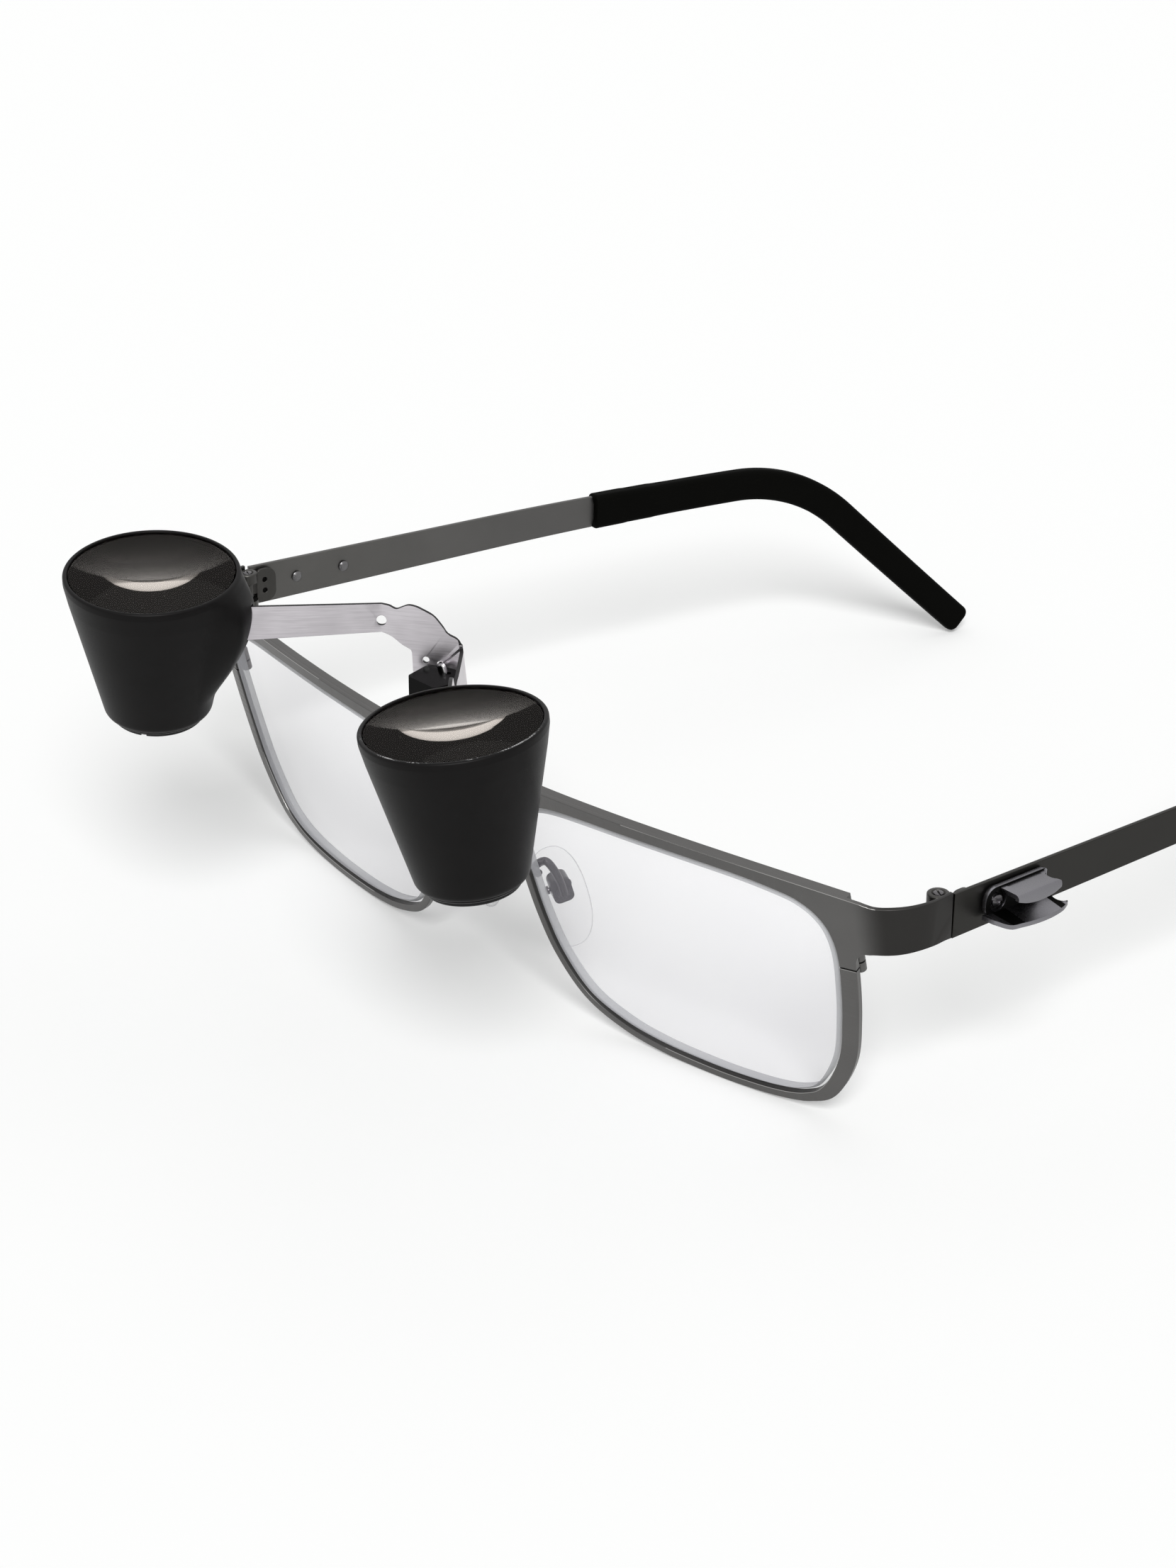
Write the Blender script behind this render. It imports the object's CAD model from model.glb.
"""Flip-up magnifying glasses standing open on a pale table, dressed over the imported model.

Metres, +Z up. The wearer looks along -Y, the temples run back along +Y, +X is the wearer's left.
"""

import math

import bmesh
import bpy
from mathutils import Matrix, Vector
from mathutils.geometry import delaunay_2d_cdt


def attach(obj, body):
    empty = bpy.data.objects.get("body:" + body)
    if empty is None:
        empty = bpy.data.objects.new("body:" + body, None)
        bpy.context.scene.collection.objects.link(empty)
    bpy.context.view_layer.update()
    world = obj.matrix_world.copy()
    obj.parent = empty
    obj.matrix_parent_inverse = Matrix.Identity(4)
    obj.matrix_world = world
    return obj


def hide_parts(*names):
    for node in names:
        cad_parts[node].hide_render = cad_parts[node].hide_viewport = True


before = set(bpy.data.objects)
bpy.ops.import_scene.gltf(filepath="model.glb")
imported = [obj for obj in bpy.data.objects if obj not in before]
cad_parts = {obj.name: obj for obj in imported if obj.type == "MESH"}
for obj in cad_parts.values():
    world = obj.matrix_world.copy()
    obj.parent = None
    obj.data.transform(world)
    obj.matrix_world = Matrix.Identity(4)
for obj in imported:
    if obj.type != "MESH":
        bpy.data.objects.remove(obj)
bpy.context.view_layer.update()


# ---- Camera: the photograph's view, from the wearer's front left and above, half a metre away
AIM = Vector((0.022, 0.0, 0.0397))
CAMERA_TURN, CAMERA_RISE, CAMERA_ROLL = math.radians(46.9), math.radians(26.35), math.radians(0.15)
CAMERA_DISTANCE = 0.452
back = Vector((
    math.sin(CAMERA_TURN) * math.cos(CAMERA_RISE),
    -math.cos(CAMERA_TURN) * math.cos(CAMERA_RISE),
    math.sin(CAMERA_RISE),
))
level = Vector((math.cos(CAMERA_TURN), math.sin(CAMERA_TURN), 0))
upright = back.cross(level)
right = level * math.cos(CAMERA_ROLL) + upright * math.sin(CAMERA_ROLL)
up = upright * math.cos(CAMERA_ROLL) - level * math.sin(CAMERA_ROLL)
view = bpy.data.cameras.new("studio_camera")
view.sensor_fit = "HORIZONTAL"
view.sensor_width = 36
view.lens = 108.5
view.clip_start = 0.01
camera = bpy.data.objects.new("studio_camera", view)
camera.matrix_world = Matrix.Translation(AIM + back * CAMERA_DISTANCE) @ (
    Matrix((right, up, back)).transposed().to_4x4()
)
bpy.context.scene.collection.objects.link(camera)
bpy.context.scene.camera = camera
bpy.context.scene.view_settings.view_transform = "Standard"


# ---- Studio: a white table and white surroundings, with one soft light from behind the camera.
# The camera, mirrors and glass see the surroundings as white; everything else gets the plain level.
def linear(code):
    """An sRGB colour such as "#504f4e" as linear RGBA."""
    parts = [int(code[i : i + 2], 16) / 255 for i in (1, 3, 5)]
    return (*[p / 12.92 if p <= 0.04045 else ((p + 0.055) / 1.055) ** 2.4 for p in parts], 1.0)


def node(tree, kind, sockets=(), **settings):
    """A node with its settings, and its sockets given a value or a link."""
    made = tree.nodes.new(kind)
    for name, value in settings.items():
        setattr(made, name, value)
    for name, value in dict(sockets).items():
        if isinstance(value, bpy.types.NodeSocket):
            tree.links.new(value, made.inputs[name])
        else:
            made.inputs[name].default_value = value
    return made


def seen_directly(tree):
    """1 for what the camera, a mirror or glass sees."""
    path = node(tree, "ShaderNodeLightPath")
    seen = path.outputs["Is Camera Ray"]
    for kind in ("Is Glossy Ray", "Is Transmission Ray"):
        seen = node(tree, "ShaderNodeMath", {0: seen, 1: path.outputs[kind]}, operation="MAXIMUM").outputs[0]
    return seen


ROOM_LEVEL, TABLE_GREY, TABLE_GLOW = 0.38, 0.76, 0.13


world = bpy.data.worlds.new("white_studio")
world.use_nodes = True
tree = world.node_tree
tree.nodes.clear()
lit = node(tree, "ShaderNodeBackground", {"Color": (1, 1, 1, 1), "Strength": ROOM_LEVEL})
shown = node(tree, "ShaderNodeBackground", {"Color": (0.985, 0.983, 0.985, 1), "Strength": 1.0})
mixed = node(tree, "ShaderNodeMixShader", {0: seen_directly(tree), 1: lit.outputs[0], 2: shown.outputs[0]})
node(tree, "ShaderNodeOutputWorld", {0: mixed.outputs[0]})
bpy.context.scene.world = world

# The table is matt white laminate: the eye sees plain white, with only soft pale grey shadows on it.
table_top = bpy.data.materials.new("white_laminate_table")
table_top.use_nodes = True
tree = table_top.node_tree
tree.nodes.clear()
plain_white = node(tree, "ShaderNodeBsdfDiffuse", {"Color": (TABLE_GREY, TABLE_GREY, TABLE_GREY, 1)})
shadowed = node(tree, "ShaderNodeBsdfDiffuse", {"Color": (0.87, 0.875, 0.87, 1)})
glow = node(tree, "ShaderNodeEmission", {"Color": (1, 1, 1, 1), "Strength": TABLE_GLOW})
bright = node(tree, "ShaderNodeAddShader", {0: shadowed.outputs[0], 1: glow.outputs[0]})
mixed = node(tree, "ShaderNodeMixShader", {
    0: seen_directly(tree), 1: plain_white.outputs[0], 2: bright.outputs[0],
})
node(tree, "ShaderNodeOutputMaterial", {0: mixed.outputs[0]})

TABLE_HALF = 4.0
sheet = bpy.data.meshes.new("table")
corners = [(TABLE_HALF * x, TABLE_HALF * y, 0) for x, y in ((-1, -1), (1, -1), (1, 1), (-1, 1))]
sheet.from_pydata(corners, [], [(0, 1, 2, 3)])
sheet.materials.append(table_top)
table = bpy.data.objects.new("table", sheet)
bpy.context.scene.collection.objects.link(table)

for name, strength, spread, tilt, turn in (
    ("soft_key", 2.5, 23, 49, 48),
    ("overhead_fill", 0.28, 60, 15, 215),
):
    lamp = bpy.data.lights.new(name, "SUN")
    lamp.energy = strength
    lamp.angle = math.radians(spread)
    held = bpy.data.objects.new(name, lamp)
    held.rotation_euler = (math.radians(tilt), 0, math.radians(turn))
    bpy.context.scene.collection.objects.link(held)


# ---- Front: one piece of nickel silver sheet, stamped to the bridge, brows and rims and bent round
# at both temples, with a stiffening bar soldered behind each brow. Satin gun-metal plating.
FRONT_PLACE = Matrix.Translation((0, 0, 0.0212)) @ Matrix.Rotation(math.radians(13.5), 4, "X")
WRAP_RADIUS = 0.234
FIT_GAP = 0.0003
LENS_WIDTH, LENS_HEIGHT = 0.050, 0.0358
LENS_INNER_EDGE, LENS_LOWER_EDGE = 0.0101, 0.0213
LENS_EDGE_SHARES = (
    (0.958, 0.890), (0.920, 0.930), (0.870, 0.955), (0.752, 0.981), (0.600, 0.994), (0.420, 1.000),
    (0.240, 0.999), (0.130, 0.985), (0.060, 0.946), (0.015, 0.880), (0.003, 0.790), (0.012, 0.640),
    (0.034, 0.450), (0.072, 0.285), (0.148, 0.135), (0.264, 0.056), (0.382, 0.022), (0.500, 0.008),
    (0.620, 0.001), (0.745, 0.006), (0.830, 0.030), (0.893, 0.090), (0.954, 0.250), (0.982, 0.440),
    (0.996, 0.620), (0.998, 0.740), (0.985, 0.830),
)
RIM_WIDTH, RIM_WIDTH_TEMPORAL, RIM_DEPTH = 0.0011, 0.0023, 0.0010
SEAM_HIGH, SEAM_LOW = 0.0032, 0.00295
SHEET_THICKNESS = 0.0006
BROW_END = 0.0642
BROW_TOP_INNER, BROW_TOP_OUTER = 0.0164, 0.0141
BRIDGE_TOP, BRIDGE_UNDERSIDE, BRIDGE_HALF_SPAN = 0.0156, 0.0113, 0.0118
ENDPIECE_BOTTOM, ENDPIECE_OUTER = 0.0061, 0.070
ENDPIECE_TOP_SHARES = ((0, 0), (0.08, 0.13), (0.16, 0.24), (0.35, 0.36), (0.60, 0.57), (0.80, 0.79), (1, 1))
ENDPIECE_LOW_SHARES = ((0.04, -0.2), (0.12, -0.45), (0.30, -0.50), (0.60, -0.35), (0.85, 0.35), (1, 1))
HINGE_AXIS = Vector((0.0681, 0.015507, 0.0336))
BUTT_OFFSET = 0.00095
TEMPLE_HEIGHT_FRONT = 0.0061


def between(a, b, c, d, t):
    """A point between b and c on the smooth curve through all four."""
    return 0.5 * (2 * b + (c - a) * t + (2 * a - 5 * b + 4 * c - d) * t**2 + (3 * b - a - 3 * c + d) * t**3)


def smooth_path(points, steps, closed=False):
    """A smooth curve through the points."""
    points = [Vector(p) for p in points]
    if closed:
        padded = [points[-1]] + points + points[:2]
    else:
        padded = [points[0] * 2 - points[1]] + points + [points[-1] * 2 - points[-2]]
    fours = zip(padded, padded[1:], padded[2:], padded[3:])
    path = [between(*near, k / steps) for near in fours for k in range(steps)]
    return path if closed else path + [points[-1]]


def offset(points, distance):
    """A closed outline moved outwards."""
    area = sum(a.x * b.y - b.x * a.y for a, b in zip(points, points[1:] + points[:1]))
    made = []
    for i, point in enumerate(points):
        along = (points[(i + 1) % len(points)] - points[i - 1]).normalized()
        made.append(point + Vector((along.y, -along.x)) * math.copysign(distance, area * distance))
    return made


def spaced(points, step):
    """A closed outline with its long stretches divided and its doubled points left out."""
    made = []
    for i, point in enumerate(points):
        after = points[(i + 1) % len(points)]
        count = max(1, math.ceil((after - point).length / step))
        if (after - point).length > 1e-6:
            made += [point.lerp(after, k / count) for k in range(count)]
    return made


def skinned(bm, rings, finish=lambda k: 0):
    """Strips of faces between rings of points, each strip with its own finish."""
    for k, (low, high) in enumerate(zip(rings, rings[1:])):
        for i in range(len(low)):
            j = (i + 1) % len(low)
            bm.faces.new((low[i], low[j], high[j], high[i])).material_index = finish(k)


def plate(outline, holes, thickness, edge, lie, front=0.0, step=0.0006):
    """Sheet metal cut to an outline with holes, its edges eased, and laid in its bent form."""
    loops = [spaced(outline, step)] + [spaced(hole, step) for hole in holes]
    ease = [(1.0, 0.0), (0.62, 0.08), (0.29, 0.29), (0.08, 0.62), (0.0, 1.0)]
    levels = [(inset * edge, front + depth * edge) for inset, depth in ease]
    levels += [(inset, 2 * front + thickness - depth) for inset, depth in reversed(levels)]
    bm = bmesh.new()
    flat, chains, rings = [], [], []
    for k, loop in enumerate(loops):
        sign = -1 if k == 0 else 1
        insets = [offset(loop, sign * inset) if inset else loop for inset, _ in levels]
        first = len(flat)
        flat += insets[0]
        chains += [(first + i, first + (i + 1) % len(loop)) for i in range(len(loop))]
        rings.append([
            [bm.verts.new(lie(p.x, depth, p.y)) for p in points]
            for points, (_, depth) in zip(insets, levels)
        ])
    for ring in rings:
        skinned(bm, ring)
    _, _, faces, sources, _, _ = delaunay_2d_cdt(flat, chains, [], 1, 1e-9)
    near = [v for ring in rings for v in ring[0]]
    far = [v for ring in rings for v in ring[-1]]
    spans, start = [], 0
    for loop in loops:
        spans.append(flat[start : start + len(loop)])
        start += len(loop)
    for face in faces:
        corners = [sources[i][0] for i in face]
        middle = sum((flat[i] for i in corners), Vector((0, 0))) / 3
        if any(inside(middle, hole) for hole in spans[1:]) or len(set(corners)) < 3:
            continue
        bm.faces.new([near[i] for i in corners])
        bm.faces.new([far[i] for i in reversed(corners)])
    return bm


def inside(point, loop):
    """Whether a flat point lies within a closed outline."""
    odd = False
    for a, b in zip(loop, loop[1:] + loop[:1]):
        if (a.y > point.y) != (b.y > point.y):
            odd ^= point.x < (b.x - a.x) * (point.y - a.y) / (b.y - a.y) + a.x
    return odd


def plain(made):
    """The object with its modifiers worked into its mesh."""
    bpy.context.view_layer.update()
    mesh = bpy.data.meshes.new_from_object(made.evaluated_get(bpy.context.evaluated_depsgraph_get()))
    made.modifiers.clear()
    made.data = mesh
    return made


def solid(name, bm, *finishes, bevel=0.0, sharp=38):
    """A closed mesh as an object: outward faces, edges eased by a bevel, flat faces shaded flat."""
    bmesh.ops.remove_doubles(bm, verts=bm.verts, dist=1e-7)
    bmesh.ops.recalc_face_normals(bm, faces=bm.faces)
    mesh = bpy.data.meshes.new(name)
    bm.to_mesh(mesh)
    bm.free()
    made = bpy.data.objects.new(name, mesh)
    bpy.context.scene.collection.objects.link(made)
    for finish in finishes:
        mesh.materials.append(finish)
    return shaded(made, bevel, sharp)


def shaded(made, bevel=0.0, sharp=38):
    """The object with a small round on its edges and its shading weighted by face size."""
    if bevel:
        rounding = made.modifiers.new("edge", "BEVEL")
        rounding.width = bevel
        rounding.segments = 2
        rounding.limit_method = "ANGLE"
        rounding.angle_limit = math.radians(sharp)
        plain(made)
    made.data.shade_smooth()
    made.data.set_sharp_from_angle(angle=math.radians(sharp))
    weight = made.modifiers.new("shading", "WEIGHTED_NORMAL")
    weight.keep_sharp = True
    return plain(made)


def part(made, body, slot, *nodes):
    """The finished piece handed to the model: what carries it, its finish, and the solids it stands for."""
    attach(made, body)
    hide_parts(*nodes)
    return made


def lens_edge(steps=8):
    """The left lens's edge in the plane of the front, from its temporal corner over the top."""
    knots = [
        (LENS_INNER_EDGE + across * LENS_WIDTH, -LENS_LOWER_EDGE + up * LENS_HEIGHT)
        for across, up in LENS_EDGE_SHARES
    ]
    return smooth_path(knots, steps, closed=True)


def opened(points):
    """A rim outline cut at the seam on its temporal side, from the seam's upper lip to its lower one."""
    def past_seam(loop, low):
        return next(i for i, p in enumerate(loop) if p.x > 0.05 and p.y > SEAM_HIGH and loop[i - 1].y <= low)

    first = past_seam(points, SEAM_HIGH)
    run = points[first - 3 :] + points[: first - 3]

    def crossing(height):
        a, b = [(a, b) for a, b in zip(run, run[1:]) if a.y <= height < b.y and a.x > 0.05][0]
        return a.lerp(b, (height - a.y) / (b.y - a.y))

    start, end = crossing(SEAM_HIGH), crossing(SEAM_LOW)
    clear = [p for p in run if (p - start).length > 0.0003 and (p - end).length > 0.0003]
    first = past_seam(clear, SEAM_LOW)
    return [start] + clear[first:] + clear[:first] + [end]


def brow_top(x):
    """Upper edge of the sheet at a distance from the middle."""
    if x < BRIDGE_HALF_SPAN:
        share = x / BRIDGE_HALF_SPAN
        return BRIDGE_TOP + (BROW_TOP_INNER - BRIDGE_TOP) * share**2 * (3 - 2 * share)
    share = (x - BRIDGE_HALF_SPAN) / (BROW_END - BRIDGE_HALF_SPAN)
    return BROW_TOP_INNER + (BROW_TOP_OUTER - BROW_TOP_INNER) * share**3


axis_in_front = FRONT_PLACE.inverted() @ HINGE_AXIS
START_SLOPE = math.atan(BROW_END / WRAP_RADIUS)
CORNER_RADIUS = (ENDPIECE_OUTER - BROW_END) / (1 - math.sin(START_SLOPE))
CORNER_LENGTH = CORNER_RADIUS * (math.pi / 2 - START_SLOPE)
CORNER_Y = BROW_END**2 / (2 * WRAP_RADIUS) + CORNER_RADIUS * math.cos(START_SLOPE)
ENDPIECE_LENGTH = CORNER_LENGTH + axis_in_front.y + BUTT_OFFSET - FIT_GAP - CORNER_Y


def bent(s, depth, z):
    """Where a point of the flat front goes: round the face, then round the corner to the temple."""
    side, s = (1 if s >= 0 else -1), abs(s)
    travel = max(s - BROW_END, 0)
    if travel == 0:
        angle = math.atan(s / WRAP_RADIUS)
        plan = Vector((s, s**2 / (2 * WRAP_RADIUS)))
    else:
        angle = START_SLOPE + min(travel, CORNER_LENGTH) / CORNER_RADIUS
        plan = Vector((ENDPIECE_OUTER - CORNER_RADIUS, CORNER_Y))
        plan += CORNER_RADIUS * Vector((math.sin(angle), -math.cos(angle)))
        plan.y += max(travel - CORNER_LENGTH, 0)
    plan += Vector((-math.sin(angle), math.cos(angle))) * depth
    plan.y += math.tan(math.radians(13.5)) * (z - axis_in_front.z) * travel / ENDPIECE_LENGTH
    return FRONT_PLACE @ Vector((side * plan.x, plan.y, z))


def mirror(points):
    return [Vector((-p.x, p.y)) for p in reversed(points)]


def curve_by(corner_points, steps=6):
    """A corner of three points rounded off."""
    a, b, c = [Vector(p) for p in corner_points]
    return [a.lerp(b, k / steps).lerp(b.lerp(c, k / steps), k / steps) for k in range(steps + 1)]


opening = offset(lens_edge(), FIT_GAP / 2)
rim_outer = []
for point, beyond in zip(lens_edge(), offset(lens_edge(), 1)):
    width = RIM_WIDTH + (RIM_WIDTH_TEMPORAL - RIM_WIDTH) * max((beyond - point).x, 0) ** 1.5
    rim_outer.append(point + (beyond - point) * (width + FIT_GAP / 2))
opening = opened(opening)
rim_outer = opened(rim_outer)

rise = axis_in_front.z + TEMPLE_HEIGHT_FRONT / 2 - BROW_TOP_OUTER
fall = axis_in_front.z - TEMPLE_HEIGHT_FRONT / 2 - ENDPIECE_BOTTOM
ceiling = [(BROW_END + ENDPIECE_LENGTH * a, BROW_TOP_OUTER + rise * v) for a, v in ENDPIECE_TOP_SHARES]
floor = [(BROW_END + ENDPIECE_LENGTH * a, ENDPIECE_BOTTOM + fall * v) for a, v in ENDPIECE_LOW_SHARES]
top_edge = [Vector((x * 0.001, brow_top(x * 0.001))) for x in range(1, 64)] + smooth_path(ceiling, 5)
low_edge = smooth_path(floor, 5)[::-1]
heel = rim_outer[-1]
low_edge += curve_by([
    low_edge[-1], (heel.x + 0.0002, ENDPIECE_BOTTOM), (heel.x + 0.00005, SEAM_HIGH + 0.0006),
])[1:]
low_edge.append(Vector((heel.x, SEAM_HIGH)))
underside = []
for k in range(9):
    x = 0.0081 * (1 - k / 8)
    drop = (1 - math.cos(math.pi * x / BRIDGE_HALF_SPAN)) / 2
    underside.append(Vector((x, BRIDGE_UNDERSIDE - drop * RIM_WIDTH)))
lower_rim = rim_outer[::-1]
stop = [i for i, p in enumerate(lower_rim) if p.x < 0.02 and p.y > 0.0088][0]
lower_rim = lower_rim[:stop]
nasal = curve_by([lower_rim[-1], (lower_rim[-1].x - 0.0001, underside[0].y + 0.0001), underside[0]])
half = top_edge + low_edge + opening + lower_rim + nasal[1:-1] + underside[:-1]
contour = [Vector((0, brow_top(0)))] + half + [Vector((0, BRIDGE_UNDERSIDE))] + mirror(half)


def blank(name):
    """A new material with its tree, its shader, and the place on the piece that patterns read."""
    made = bpy.data.materials.new(name)
    made.use_nodes = True
    tree = made.node_tree
    return made, tree, tree.nodes["Principled BSDF"], node(tree, "ShaderNodeTexCoord").outputs["Object"]


def grained(tree, shader, spot, grain, strength, depth, gloss=None):
    """Fine grain: a bump of that size, and a roughness that wavers with it between two values."""
    fine = node(tree, "ShaderNodeTexNoise", {"Vector": spot, "Scale": 1 / grain, "Detail": 2.0})
    if gloss:
        rough = node(tree, "ShaderNodeMapRange", {
            "Value": fine.outputs[0], "To Min": gloss[0], "To Max": gloss[1],
        })
        tree.links.new(rough.outputs[0], shader.inputs["Roughness"])
    bump = node(tree, "ShaderNodeBump", {"Height": fine.outputs[0], "Strength": strength, "Distance": depth})
    tree.links.new(bump.outputs[0], shader.inputs["Normal"])


def plated(name, tone, far_tone, roughness, start, end, grain=0.00012, axis="Y"):
    """Plated metal whose tone runs from one colour to another away from the middle of the model."""
    made, tree, shader, spot = blank(name)
    apart = node(tree, "ShaderNodeSeparateXYZ", {0: spot})
    away = node(tree, "ShaderNodeMath", {0: apart.outputs[axis]}, operation="ABSOLUTE")
    run = node(tree, "ShaderNodeMapRange", {
        "Value": away.outputs[0], "From Min": start, "From Max": end, "To Min": 0.0, "To Max": 1.0,
    }, interpolation_type="SMOOTHSTEP")
    cloud = node(tree, "ShaderNodeTexNoise", {"Vector": spot, "Scale": 1 / 0.009, "Detail": 3.0})
    mix = node(tree, "ShaderNodeMix", {
        0: run.outputs[0], 6: linear(tone), 7: linear(far_tone),
    }, data_type="RGBA")
    mottle = node(tree, "ShaderNodeMapRange", {"Value": cloud.outputs[0], "To Min": 0.88, "To Max": 1.12})
    toned = node(tree, "ShaderNodeVectorMath", {0: mix.outputs[2], 3: mottle.outputs[0]}, operation="SCALE")
    tree.links.new(toned.outputs[0], shader.inputs["Base Color"])
    grained(tree, shader, spot, grain, 0.10, grain / 4, (roughness - 0.05, roughness + 0.07))
    shader.inputs["Metallic"].default_value = 1.0
    return made


# Satin gun-metal plating over blasted nickel silver: an even dark grey with a soft sheen, a fine
# grain of about 0.12 mm, darker where the bend turns to the hinge and paler along the top edge.
gunmetal = plated("satin_gunmetal_plating", "#5f5e5d", "#343332", 0.38, 0.0630, 0.0670, axis="X")
rubbed_edge = plated("rubbed_gunmetal_edge", "#a3a2a0", "#8b8a88", 0.30, 0.060, 0.067, axis="X")
front_sheet = solid("front_sheet", plate(contour, [], SHEET_THICKNESS, 0.00009, bent), gunmetal)
front_sheet.data.materials.append(rubbed_edge)
for face in front_sheet.data.polygons:
    turned_up = FRONT_PLACE.to_3x3().inverted() @ face.normal
    if 0.25 < turned_up.z < 0.90 and turned_up.y < -0.35 and 0.030 < abs(face.center.x) < 0.066:
        face.material_index = 1
part(front_sheet, "front", "gunmetal", "front_frame")
for side, tag in ((1, "left"), (-1, "right")):
    band = [Vector((p.x * side, p.y)) for p in opening + rim_outer[::-1]]
    rim = solid("rim_" + tag, plate(band, [], RIM_DEPTH - 0.0005, 0.0001, bent, front=0.0005), gunmetal)
    part(rim, "front", "gunmetal", "front_frame")
    rail = [0.0147 + (0.0624 - 0.0147) * k / 60 for k in range(61)]
    bar_outline = [Vector((x * side, brow_top(x) - 0.00012)) for x in rail]
    bar_outline += [Vector((x * side, brow_top(x) - 0.00127)) for x in reversed(rail)]
    bar = solid("brow_bar_" + tag, plate(bar_outline, [], 0.00142, 0.00012, bent, front=0.0003), gunmetal)
    part(bar, "front", "gunmetal", "front_frame")


# ---- Lenses: plain clear plastic, domed forward, pressed into the rims from behind. The front edge
# is ground to a bevel, which catches the light as a pale grey line inside the rim.
LENS_THICKNESS, LENS_DOME, LENS_SETBACK, LENS_BEVEL = 0.0016, 0.0005, 0.0001, 0.0005


def glassy(name, code, alpha, roughness):
    """Clear plastic that lets most of what is behind it through, slightly clouded in patches."""
    made, tree, shader, spot = blank(name)
    shader.inputs["Base Color"].default_value = linear(code)
    shader.inputs["Roughness"].default_value = roughness
    shader.inputs["IOR"].default_value = 1.5
    haze = node(tree, "ShaderNodeTexNoise", {"Vector": spot, "Scale": 1 / 0.014, "Detail": 2.0})
    cover = node(tree, "ShaderNodeMapRange", {
        "Value": haze.outputs[0], "From Min": 0.3, "From Max": 0.7,
        "To Min": alpha * 0.88, "To Max": alpha * 1.12,
    })
    tree.links.new(cover.outputs[0], shader.inputs["Alpha"])
    return made


# The lenses are clear with a faint cool tint, so the eye sees the table through them, a trace
# darker. Their ground edge is cloudy and reads as a pale grey line inside the rim.
lens_clear = glassy("clear_lens_plastic", "#e6e3ee", 0.10, 0.06)
lens_ground = glassy("ground_lens_edge", "#a6a7aa", 0.80, 0.35)

for side, tag in ((1, "left"), (-1, "right")):
    outline = offset(lens_edge(), -FIT_GAP / 2)
    face = offset(outline, -LENS_BEVEL)
    centre = sum(outline, Vector((0, 0))) / len(outline)
    rear = LENS_SETBACK + LENS_THICKNESS
    shares = (0.15, 0.3, 0.45, 0.6, 0.75, 0.88, 1.0)
    rows = [(face, share, LENS_SETBACK) for share in shares]
    rows += [(outline, 1.0, LENS_SETBACK + LENS_BEVEL), (outline, 1.0, rear - 0.0001)]
    rows += [(offset(outline, -0.0001), 1.0, rear)]
    rows += [(outline, share, rear) for share in reversed(shares[:-1])]
    bm = bmesh.new()
    rings = []
    for edge, share, depth in rows:
        bulge = LENS_DOME * (1 - share**2)
        flat = [centre + (p - centre) * share for p in edge]
        rings.append([bm.verts.new(bent(p.x * side, depth - bulge, p.y)) for p in flat])
    skinned(bm, rings, lambda k: 1 if 6 <= k <= 8 else 0)
    bm.faces.new(rings[0])
    bm.faces.new(rings[-1])
    part(solid("lens_" + tag + "_glazing", bm, lens_clear, lens_ground), "front", "lens", "lens_" + tag)


# ---- Closing blocks: a small split barrel brazed behind each rim at the seam, with the screw that
# draws the rim tight round the lens. Same plating as the front.
def rounded(corners, steps):
    """A closed outline of (x, y, radius) corners, each rounded by an arc."""
    points = []
    for i, (x, y, radius) in enumerate(corners):
        here = Vector((x, y))
        to_last = Vector(corners[i - 1][:2]) - here
        to_next = Vector(corners[(i + 1) % len(corners)][:2]) - here
        half = to_last.angle(to_next) / 2
        if radius == 0 or half > 1.56:
            points.append(here)
            continue
        reach = min(radius / math.tan(half), 0.49 * to_last.length, 0.49 * to_next.length)
        radius = reach * math.tan(half)
        inward = (to_last.normalized() + to_next.normalized()).normalized()
        middle = here + inward * (radius / math.sin(half))
        start = here + to_last.normalized() * reach - middle
        end = here + to_next.normalized() * reach - middle
        turn = start.angle_signed(end)
        points += [middle + Matrix.Rotation(-turn * k / steps, 2) @ start for k in range(steps + 1)]
    return points


def turned(corners, place, round_steps=3, steps=64):
    """A turned solid: corners of (radius, height, rounding), from one end of the axis to the other."""
    profile = rounded(corners, round_steps)
    bm = bmesh.new()
    rings = []
    for p in profile:
        if p.x < 1e-7:
            rings.append([bm.verts.new((0, 0, p.y))])
        else:
            turns = [2 * math.pi * i / steps for i in range(steps)]
            rings.append([bm.verts.new((p.x * math.cos(a), p.x * math.sin(a), p.y)) for a in turns])
    whole = corners[0][0] > 0
    for low, high in list(zip(rings, rings[1:])) + ([(rings[-1], rings[0])] if whole else []):
        for i in range(steps):
            j = (i + 1) % steps
            ends = [low[0]] if len(low) == 1 else [low[i], low[j]]
            bm.faces.new(ends + ([high[0]] if len(high) == 1 else [high[j], high[i]]))
    bm.transform(place)
    return bm


def rod(radius, low, high, place, steps=32):
    """A plain round rod along a frame's Z, used to bore."""
    return turned([(0, low, 0), (radius, low, 0), (radius, high, 0), (0, high, 0)], place, steps=steps)


def block(low, high, place):
    """A straight-sided block between two corners, used to cut."""
    bm = bmesh.new()
    bmesh.ops.create_cube(bm, size=1.0)
    sizes = [b - a for a, b in zip(low, high)]
    centre = [(a + b) / 2 for a, b in zip(low, high)]
    bm.transform(place @ Matrix.Translation(centre) @ Matrix.Diagonal((*sizes, 1)))
    return bm


def carved(made, *cutters, joining=False):
    """The object with each cutter's mesh taken out of it, or joined to it."""
    for bm in cutters:
        tool = solid("tool", bm)
        modifier = made.modifiers.new("cut", "BOOLEAN")
        modifier.operation = "UNION" if joining else "DIFFERENCE"
        modifier.solver = "EXACT"
        modifier.object = tool
        plain(made)
        bpy.data.objects.remove(tool, do_unlink=True)
    return made


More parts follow.
